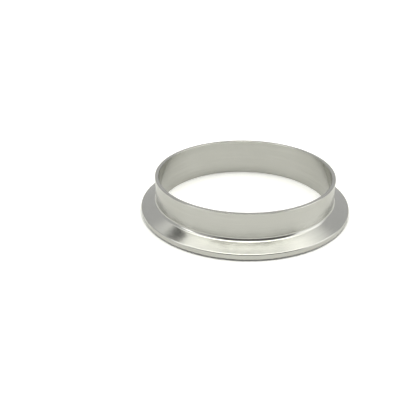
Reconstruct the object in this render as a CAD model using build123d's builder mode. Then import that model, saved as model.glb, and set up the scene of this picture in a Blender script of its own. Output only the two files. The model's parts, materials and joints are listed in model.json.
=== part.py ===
"""Sanitary clamp ferrule for 4 inch tube, short pattern, turned from one piece of stainless steel.

A thin tube stub rises from a flange. The flange's underside carries the sealing face, with a round
gasket groove beyond it and, outside the groove, a land that stands back from the face, so that only
the face and the gasket meet. Its upper side is the 20 degree bevel that a clamp's two halves wedge
down on. The stub's free end is welded to the tube of the pipework.

Frame: the origin is the centre of the sealing face, +Z runs along the bore to the weld end, and
the ferrule stands on its sealing face. All sizes are in millimetres.
"""

import os
from math import radians, tan

from build123d import *

# Tube stub
tube_od = 101.6
tube_wall = 2.0
overall_length = 21.5

# Clamp flange: its reach beyond the tube gives the 119 mm outside diameter that the clamp takes
flange_reach = 8.7
rim_thickness = 2.85
bevel_angle = 20.0
neck_radius = 2.0

# Underside: how far the outer land stands back from the sealing face, and the gasket groove,
# a round-bottomed ring whose middle is set in from the rim and whose depth is below the face
land_setback = 0.8
groove_inset = 4.35
groove_round = 2.4
groove_depth = 1.6

# Edge finish
rim_top_edge_radius = 0.7
rim_land_edge_radius = 0.3
groove_lip_radius = 0.3
bore_edge_radius = 0.25
weld_end_chamfer = 0.2

tube_radius = tube_od / 2
bore_radius = tube_radius - tube_wall
flange_radius = tube_radius + flange_reach
groove_radius = flange_radius - groove_inset
rim_top = land_setback + rim_thickness
neck_height = rim_top + flange_reach * tan(radians(bevel_angle))


with BuildPart() as ferrule:
    # Half of the turned section: X is the radius and Y the height above the sealing face
    with BuildSketch(Plane.XZ) as section:
        with BuildLine():
            Polyline(
                (bore_radius, 0),
                (groove_radius, 0),
                (groove_radius, land_setback),
                (flange_radius, land_setback),
                (flange_radius, rim_top),
                (tube_radius, neck_height),
                (tube_radius, overall_length),
                (bore_radius, overall_length),
                close=True,
            )
        make_face()

        # Hollow blend where the bevel meets the tube
        neck = section.vertices().group_by(Axis.X)[1].sort_by(Axis.Y)[0]
        fillet(neck, neck_radius)

        # Weld end: square cut, with both edges broken
        weld_end = section.vertices().group_by(Axis.Y)[-1]
        chamfer(weld_end, weld_end_chamfer)

        # Gasket groove, which swallows the step from the face to the land
        with Locations((groove_radius, groove_depth - groove_round)):
            Circle(groove_round, mode=Mode.SUBTRACT)

        # Underside edges: the groove's two lips, at the face and at the land, then the bore's edge
        face_level, land_level = section.vertices().group_by(Axis.Y)[0:2]
        face_lip = face_level.sort_by(Axis.X)[1]
        land_lip = land_level.sort_by(Axis.X)[0]
        fillet([face_lip, land_lip], groove_lip_radius)
        bore_edge = section.vertices().group_by(Axis.Y)[0].sort_by(Axis.X)[0]
        fillet(bore_edge, bore_edge_radius)

        # The rim's two corners, the upper one well rounded so that the clamp rides onto the bevel
        rim_top_edge = section.vertices().group_by(Axis.X)[-1].sort_by(Axis.Y)[-1]
        fillet(rim_top_edge, rim_top_edge_radius)
        rim_land_edge = section.vertices().group_by(Axis.X)[-1].sort_by(Axis.Y)[0]
        fillet(rim_land_edge, rim_land_edge_radius)
    revolve(axis=Axis.Z)

ferrule.part.label = "ferrule"

os.makedirs("parts", exist_ok=True)
export_step(ferrule.part, "parts/ferrule.step")
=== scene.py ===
"""Looks of the sanitary clamp ferrule: one turned piece of stainless steel, standing on white paper.

The CAD node sets the size and place. A finer turned body stands for it, with the same section, so that
the metal's long soft reflections run round it without facets.
"""

import json
from math import acos, atan2, cos, degrees, pi, radians, sin, sqrt, tan

import bpy
from mathutils import Matrix, Vector


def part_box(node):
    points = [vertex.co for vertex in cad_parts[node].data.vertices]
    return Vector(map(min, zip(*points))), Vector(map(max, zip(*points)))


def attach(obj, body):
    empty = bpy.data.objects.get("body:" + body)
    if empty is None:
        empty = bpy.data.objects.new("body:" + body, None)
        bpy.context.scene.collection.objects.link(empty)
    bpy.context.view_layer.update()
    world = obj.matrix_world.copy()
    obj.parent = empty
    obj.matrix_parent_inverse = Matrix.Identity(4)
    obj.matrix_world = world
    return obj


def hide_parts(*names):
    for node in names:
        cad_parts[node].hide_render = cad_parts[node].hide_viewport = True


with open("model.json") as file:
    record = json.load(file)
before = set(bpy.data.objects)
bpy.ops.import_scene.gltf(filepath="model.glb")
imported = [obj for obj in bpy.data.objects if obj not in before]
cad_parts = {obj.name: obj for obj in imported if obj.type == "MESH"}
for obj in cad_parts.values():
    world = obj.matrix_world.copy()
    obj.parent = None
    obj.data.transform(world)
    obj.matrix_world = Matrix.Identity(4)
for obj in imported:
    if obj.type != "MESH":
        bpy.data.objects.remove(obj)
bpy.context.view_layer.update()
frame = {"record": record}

MM = 0.001

# ---------------------------------------------------------------- sizes of the section, in millimetres

mounts = {mount["name"]: mount for mount in frame["record"]["mounts"]}
box_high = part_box("ferrule")[1]

flange_radius = box_high.x / MM
overall_length = box_high.z / MM
tube_radius = mounts["weld_stub"]["dims"]["r_mm"]
bore_radius = mounts["bore"]["dims"]["r_mm"]
rim_middle = mounts["clamp_rim"]["pos_m"][2] / MM
rim_flat = mounts["clamp_rim"]["dims"]["length_mm"]
groove_radius = mounts["gasket_groove"]["pos_m"][0] / MM

rim_thickness = 2.85
bevel_angle = 20.0
neck_radius = 2.0
groove_round = 2.4
groove_depth = 1.6
rim_top_edge_radius = 0.7
rim_land_edge_radius = 0.3
groove_lip_radius = 0.3
bore_edge_radius = 0.25
weld_end_chamfer = 0.2
weld_end_burnish = 0.06

land_level = rim_middle - rim_flat / 2 - rim_land_edge_radius
rim_top_level = land_level + rim_thickness

TURN_STEPS = 720

# Material slots of the two finishes
FLANGE, TUBE = 0, 1


# ---------------------------------------------------------------- the turned section

def unit(vector):
    return Vector(vector).normalized()


def arc(centre, radius, start, end, steps):
    """Points of an arc from angle start to angle end, in degrees."""
    angles = [radians(start + (end - start) * i / steps) for i in range(steps + 1)]
    return [Vector((centre[0] + radius * cos(a), centre[1] + radius * sin(a))) for a in angles]


def rounded(before, corner, after, radius, steps=6):
    """The corner between two straight runs, as a tangent arc."""
    before, corner, after = Vector(before), Vector(corner), Vector(after)
    to_before, to_after = unit(before - corner), unit(after - corner)
    half = acos(max(-1.0, min(1.0, to_before.dot(to_after)))) / 2
    centre = corner + unit(to_before + to_after) * (radius / sin(half))
    start = corner + to_before * (radius / tan(half)) - centre
    end = corner + to_after * (radius / tan(half)) - centre
    first = atan2(start.y, start.x)
    turn = (atan2(end.y, end.x) - first + pi) % (2 * pi) - pi
    return arc(centre, radius, degrees(first), degrees(first + turn), steps)


def groove():
    """The gasket groove from its lip at the face to its lip at the land, with both lips eased."""
    centre = Vector((groove_radius, groove_depth - groove_round))

    def lip(level, side):
        """Middle of a lip's round, and the angle at which the groove's round meets it."""
        rise = level + groove_lip_radius - centre.y
        reach = side * sqrt((groove_round + groove_lip_radius) ** 2 - rise ** 2)
        return centre + Vector((reach, rise)), degrees(atan2(rise, reach))

    inner, inner_angle = lip(0.0, -1)
    outer, outer_angle = lip(land_level, 1)
    return (
        arc(inner, groove_lip_radius, -90, inner_angle - 180, 5)
        + arc(centre, groove_round, inner_angle, outer_angle, 20)[1:-1]
        + arc(outer, groove_lip_radius, outer_angle + 180, 270, 5)
    )


def straight(start, end, steps):
    """Points between two ends, without the ends."""
    return [Vector(start).lerp(Vector(end), i / steps) for i in range(1, steps)]


def section():
    """The closed half section as (radius, height) points, and the finish of the edge after each point.

    Each run is a rounded corner or the groove, with the number of edges up to the next run and its finish.
    """
    neck_height = rim_top_level + (flange_radius - tube_radius) * tan(radians(bevel_angle))
    face_in, groove_in = (bore_radius, 0), (groove_radius, 0)
    groove_out, land_out = (groove_radius, land_level), (flange_radius, land_level)
    rim_top, neck = (flange_radius, rim_top_level), (tube_radius, neck_height)
    outer_low = (tube_radius, overall_length - weld_end_chamfer)
    outer_high = (tube_radius - weld_end_chamfer, overall_length)
    inner_high = (bore_radius + weld_end_chamfer, overall_length)
    inner_low = (bore_radius, overall_length - weld_end_chamfer)
    runs = [
        (rounded(inner_low, face_in, groove_in, bore_edge_radius), 3, FLANGE),
        (groove(), 1, FLANGE),
        (rounded(groove_out, land_out, rim_top, rim_land_edge_radius, 6), 2, FLANGE),
        (rounded(land_out, rim_top, neck, rim_top_edge_radius, 10), 8, FLANGE),
        (rounded(rim_top, neck, outer_low, neck_radius, 16), 6, FLANGE),
        (rounded(neck, outer_low, outer_high, weld_end_burnish, 3), 1, TUBE),
        (rounded(outer_low, outer_high, inner_high, weld_end_burnish, 3), 2, TUBE),
        (rounded(outer_high, inner_high, inner_low, weld_end_burnish, 3), 1, TUBE),
        (rounded(inner_high, inner_low, face_in, weld_end_burnish, 3), 8, TUBE),
    ]
    points, finishes = [], []
    for i, (run, spans, finish) in enumerate(runs):
        next_run, _, next_finish = runs[(i + 1) % len(runs)]
        between = straight(run[-1], next_run[0], spans)
        points += run + between
        finishes += [finish] * (len(run) - 1) + [max(finish, next_finish)] * (len(between) + 1)
    return points, finishes


def section_normals(points):
    """Outward normals, led by the longer of the two edges that meet at each point."""
    count = len(points)
    edges = [points[(i + 1) % count] - points[i] for i in range(count)]
    normals = []
    for i in range(count):
        along = edges[i - 1] * edges[i - 1].length + edges[i] * edges[i].length
        normals.append(unit((along.y, -along.x)))
    return normals


def turned_body():
    """The section turned about Z, with exact normals and a map of turn against distance along the section."""
    points, finishes = section()
    normals = section_normals(points)
    count = len(points)
    lengths = [0.0]
    for i in range(count):
        lengths.append(lengths[-1] + (points[(i + 1) % count] - points[i]).length)

    vertices, vertex_normals = [], []
    for step in range(TURN_STEPS):
        angle = 2 * pi * step / TURN_STEPS
        for point, normal in zip(points, normals):
            vertices.append((point.x * cos(angle) * MM, point.x * sin(angle) * MM, point.y * MM))
            vertex_normals.append((normal.x * cos(angle), normal.x * sin(angle), normal.y))

    faces, corners, slots = [], [], []
    for step in range(TURN_STEPS):
        here, there = step * count, (step + 1) % TURN_STEPS * count
        for i in range(count):
            j = (i + 1) % count
            faces.append((here + i, there + i, there + j, here + j))
            slots.append(finishes[i])
            low, high = lengths[i] / lengths[-1], lengths[i + 1] / lengths[-1]
            left, right = step / TURN_STEPS, (step + 1) / TURN_STEPS
            corners += [(left, low), (right, low), (right, high), (left, high)]

    mesh = bpy.data.meshes.new("turned_ferrule")
    mesh.from_pydata(vertices, [], faces)
    layer = mesh.uv_layers.new(name="OFBake")
    for corner, place in zip(layer.data, corners):
        corner.uv = place
    mesh.polygons.foreach_set("use_smooth", [True] * len(faces))
    mesh.polygons.foreach_set("material_index", slots)
    mesh.normals_split_custom_set_from_vertices(vertex_normals)
    mesh.update()
    body = bpy.data.objects.new("turned_ferrule", mesh)
    bpy.context.scene.collection.objects.link(body)
    return body


# ---------------------------------------------------------------- small node helpers

class Tree:
    """Adds nodes to a tree and feeds each input a number or another node's output.

    An input is given by its name, or as i0, i1 and so on by its place.
    """

    def __init__(self, tree):
        self.tree = tree
        tree.nodes.clear()

    def node(self, kind, settings=None, **inputs):
        made = self.tree.nodes.new(kind)
        for name, value in (settings or {}).items():
            setattr(made, name, value)
        for name, value in inputs.items():
            numbered = name[0] == "i" and name[1:].isdigit()
            self.feed(made.inputs[int(name[1:]) if numbered else name], value)
        return made

    def feed(self, socket, value):
        if isinstance(value, bpy.types.NodeSocket):
            self.tree.links.new(value, socket)
        else:
            socket.default_value = value

    def math(self, operation, a, b=0.0, clamp=False):
        return self.node("ShaderNodeMath", {"operation": operation, "use_clamp": clamp}, i0=a, i1=b).outputs[0]

    def vector(self, operation, a, b=(0, 0, 0)):
        made = self.node("ShaderNodeVectorMath", {"operation": operation}, i0=a, i1=b)
        return made.outputs["Value" if operation in ("DOT_PRODUCT", "LENGTH") else "Vector"]

    def spread(self, value, low, high, to_low=0.0, to_high=1.0, smooth=True):
        made = self.node("ShaderNodeMapRange", {"interpolation_type": "SMOOTHSTEP" if smooth else "LINEAR"})
        for socket, number in zip(list(made.inputs)[:5], (value, low, high, to_low, to_high)):
            self.feed(socket, number)
        return made.outputs[0]

    def mix(self, factor, a, b):
        made = self.node("ShaderNodeMix", {"data_type": "RGBA"})
        for socket, value in ((made.inputs[0], factor), (made.inputs[6], a), (made.inputs[7], b)):
            self.feed(socket, value)
        return made.outputs[2]


# ---------------------------------------------------------------- stainless steel

# Reflections stretch across the tool marks, a quarter turn from the tangent that runs round the axis
STRETCH_TURN = 0.25

# Features of each noise per millimetre, across the rings and round them; clouds are as long as wide
MARKS_ROUND = 0.03
BANDS_ACROSS, BANDS_ROUND = 0.9, 0.02
CLOUDS = 0.10

# The part of a noise's range that counts, and how much bands and clouds change tone, height and roughness
NOISE_LOW, NOISE_HIGH = 0.35, 0.65
BANDS_IN_TONE, CLOUDS_IN_TONE = 0.55, 0.45
BANDS_IN_HEIGHT = 1.5
ROUGHNESS_DRIFT = 0.02

FLANGE_FINISH = {
    "tone": (0.63, 0.63, 0.595, 1),
    "dark_tone": (0.61, 0.61, 0.575, 1),
    "roughness": 0.17,
    "anisotropy": 0.65,
    "marks_height": 0.0002,
    "marks_per_mm": 9.0,
}
TUBE_FINISH = {
    "tone": (0.645, 0.645, 0.61, 1),
    "dark_tone": (0.585, 0.585, 0.55, 1),
    "roughness": 0.18,
    "anisotropy": 1.0,
    "marks_height": 0.0003,
    "marks_per_mm": 7.0,
}


def steel(name, tone, dark_tone, roughness, anisotropy, marks_height, marks_per_mm):
    """Turned stainless steel: fine rings round the axis, which stretch each reflection across them."""
    material = bpy.data.materials.new(name)
    material.use_nodes = True
    tree = Tree(material.node_tree)

    place = tree.node("ShaderNodeTexCoord").outputs["Object"]
    parts = tree.node("ShaderNodeSeparateXYZ", Vector=place).outputs
    flat = tree.node("ShaderNodeCombineXYZ", X=parts[0], Y=parts[1]).outputs[0]
    across = tree.math("SUBTRACT", tree.vector("LENGTH", flat), parts[2])

    def rings(per_mm, round_per_mm, detail):
        """Noise that runs round the axis: per_mm across the rings, round_per_mm along them."""
        where = tree.node(
            "ShaderNodeCombineXYZ",
            X=tree.math("MULTIPLY", parts[0], round_per_mm / MM),
            Y=tree.math("MULTIPLY", parts[1], round_per_mm / MM),
            Z=tree.math("MULTIPLY", across, per_mm / MM),
        ).outputs[0]
        return tree.node("ShaderNodeTexNoise", Vector=where, Scale=1.0, Detail=detail, Roughness=0.6).outputs[0]

    fine = rings(marks_per_mm, MARKS_ROUND, 2.0)
    bands = rings(BANDS_ACROSS, BANDS_ROUND, 3.0)
    clouds = rings(CLOUDS, CLOUDS, 2.0)

    tone_mix = tree.math(
        "ADD",
        tree.spread(bands, NOISE_LOW, NOISE_HIGH, 0.0, BANDS_IN_TONE),
        tree.spread(clouds, NOISE_LOW, NOISE_HIGH, 0.0, CLOUDS_IN_TONE),
    )
    colour = tree.mix(tone_mix, dark_tone, tone)
    rough = tree.math(
        "ADD",
        tree.spread(fine, 0.3, 0.7, roughness * 0.85, roughness * 1.1),
        tree.spread(clouds, NOISE_LOW, NOISE_HIGH, -ROUGHNESS_DRIFT, ROUGHNESS_DRIFT),
    )
    height = tree.math("ADD", fine, tree.math("MULTIPLY", bands, BANDS_IN_HEIGHT))
    bump = tree.node("ShaderNodeBump", Strength=1.0, Distance=marks_height * MM, Height=height).outputs[0]
    tangent = tree.node("ShaderNodeTangent", {"direction_type": "RADIAL", "axis": "Z"}).outputs[0]

    shader = tree.node("ShaderNodeBsdfPrincipled", Metallic=1.0, Roughness=rough, Normal=bump, Tangent=tangent)
    shader.inputs["Base Color"].default_value = (*tone[:3], 1)
    tree.feed(shader.inputs["Base Color"], colour)
    shader.inputs["Anisotropic"].default_value = anisotropy
    shader.inputs["Anisotropic Rotation"].default_value = STRETCH_TURN
    tree.node("ShaderNodeOutputMaterial", Surface=shader.outputs[0])
    return material


body = turned_body()
body.data.materials.append(steel("flange_finish", **FLANGE_FINISH))
body.data.materials.append(steel("tube_finish", **TUBE_FINISH))
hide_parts("ferrule")
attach(body, "root")


# ---------------------------------------------------------------- floor and light

WALL_TINT = (1.0, 1.0, 1.0, 1)
CEILING_TINT = (1.0, 1.0, 0.93, 1)
BACKDROP_TINT = (1.0, 1.0, 0.985, 1)

PAPER_HALF = 8.0
PAPER_LIT = (0.84, 0.84, 0.825, 1)
PAPER_SEEN = (1.22, 1.22, 1.21, 1)


def pale_floor():
    """White paper, which the camera sees a little over-exposed, as in a product photograph."""
    half = PAPER_HALF
    corners = [(-half, -half, 0), (half, -half, 0), (half, half, 0), (-half, half, 0)]
    mesh = bpy.data.meshes.new("floor")
    mesh.from_pydata(corners, [], [(0, 1, 2, 3)])
    floor = bpy.data.objects.new("floor", mesh)
    bpy.context.scene.collection.objects.link(floor)
    material = bpy.data.materials.new("white_paper")
    material.use_nodes = True
    tree = Tree(material.node_tree)
    seen = tree.node("ShaderNodeLightPath").outputs["Is Camera Ray"]
    colour = tree.mix(seen, PAPER_LIT, PAPER_SEEN)
    shader = tree.node("ShaderNodeBsdfDiffuse", Color=colour)
    tree.node("ShaderNodeOutputMaterial", Surface=shader.outputs[0])
    mesh.materials.append(material)
    return floor


def towards(azimuth, elevation):
    """Unit vector: azimuth 0 is behind the camera at -Y, 90 is +X, 180 is beyond the object."""
    a, e = radians(azimuth), radians(elevation)
    return (sin(a) * cos(e), -cos(a) * cos(e), sin(e))


def studio_light():
    """A studio sky that lights metal and paper, while the camera sees a plain backdrop.

    It has a bright ceiling, white walls and a dark room behind the camera. Its directions, in degrees as in
    towards(), and its levels were tuned to the metal's brightness in the photograph and rounded.
    """
    world = bpy.data.worlds.new("studio")
    bpy.context.scene.world = world
    world.use_nodes = True
    tree = Tree(world.node_tree)
    direction = tree.node("ShaderNodeTexCoord").outputs["Generated"]
    parts = tree.node("ShaderNodeSeparateXYZ", Vector=direction).outputs
    elevation = tree.math("ARCSINE", parts[2])
    from_front = tree.math("ABSOLUTE", tree.math("ARCTAN2", parts[0], tree.math("MULTIPLY", parts[1], -1.0)))

    def patch(azimuth, elevation, inner, outer, level):
        """The level within the inner angle of a direction, falling to 0 at the outer one."""
        apart = tree.math("ARCCOSINE", tree.vector("DOT_PRODUCT", direction, towards(azimuth, elevation)))
        return tree.spread(apart, radians(inner), radians(outer), level, 0.0)

    def strip(height, stretch, inner, outer, level):
        """A level high on the front side, stretched along the azimuth."""
        narrowing = tree.math("DIVIDE", tree.math("COSINE", elevation), stretch)
        along = tree.math("MULTIPLY", from_front, narrowing)
        above = tree.math("SUBTRACT", elevation, radians(height))
        apart = tree.math("SQRT", total(product(along, along), product(above, above)))
        return tree.spread(apart, radians(inner), radians(outer), level, 0.0)

    def total(*values):
        level = values[0]
        for value in values[1:]:
            level = tree.math("ADD", level, value)
        return level

    def product(*values):
        level = values[0]
        for value in values[1:]:
            level = tree.math("MULTIPLY", level, value)
        return level

    def less(share):
        return tree.math("SUBTRACT", 1.0, share)

    even_wall = 0.55
    right_wall = patch(85, 15, inner=15, outer=35, level=0.8)
    left_wall = patch(305, 30, inner=12, outer=30, level=2.0)
    high_ceiling = tree.spread(elevation, radians(45), radians(75), 0.0, 2.5)
    top_light = patch(180, 80, inner=14, outer=16, level=1.2)
    right_light = patch(100, 45, inner=19, outer=21, level=0.6)
    back_left_light = patch(220, 65, inner=20, outer=30, level=0.35)
    front_light = strip(85, stretch=4, inner=9, outer=17, level=1.1)
    back_right_light = patch(150, 51, inner=7, outer=14, level=0.55)

    # What darkens walls and ceiling: the room behind the camera, and two cards
    dark_room = product(
        tree.spread(from_front, radians(60), radians(70), 0.75, 0.0),
        tree.spread(elevation, radians(60), radians(100), 1.0, 0.0),
    )
    dark_back = patch(180, 61, inner=10, outer=26, level=0.9)
    dark_card = patch(222, 51, inner=3.5, outer=6.5, level=0.95)
    open_share = product(less(dark_room), less(dark_back), less(dark_card))

    walls = product(total(even_wall, right_wall, left_wall), open_share)
    overhead = product(total(high_ceiling, top_light, right_light, back_left_light), open_share)
    ceiling = total(overhead, front_light, back_right_light)

    cool = tree.node("ShaderNodeBackground", Color=WALL_TINT, Strength=walls).outputs[0]
    warm = tree.node("ShaderNodeBackground", Color=CEILING_TINT, Strength=ceiling).outputs[0]
    light = tree.node("ShaderNodeAddShader", i0=cool, i1=warm).outputs[0]
    backdrop = tree.node("ShaderNodeBackground", Color=BACKDROP_TINT, Strength=1.0).outputs[0]
    seen = tree.node("ShaderNodeLightPath").outputs["Is Camera Ray"]
    both = tree.node("ShaderNodeMixShader", i0=seen, i1=light, i2=backdrop).outputs[0]
    tree.node("ShaderNodeOutputWorld", Surface=both)


def camera():
    """At the photograph's viewing angle, aimed beside the ferrule as the photograph frames it."""
    place = Vector((0.0, -286.0, 148.2)) * MM
    aim = Vector((-26.1, 5.8, 0.0)) * MM
    roll = radians(-0.9)
    data = bpy.data.cameras.new("camera")
    data.lens = 49.3
    data.clip_start, data.clip_end = 0.01, 20.0
    made = bpy.data.objects.new("camera", data)
    bpy.context.scene.collection.objects.link(made)
    turn = (aim - place).to_track_quat("-Z", "Y").to_matrix().to_4x4()
    made.matrix_world = Matrix.Translation(place) @ turn @ Matrix.Rotation(roll, 4, "Z")
    bpy.context.scene.camera = made


pale_floor()
studio_light()
camera()
bpy.context.scene.view_settings.view_transform = "Standard"
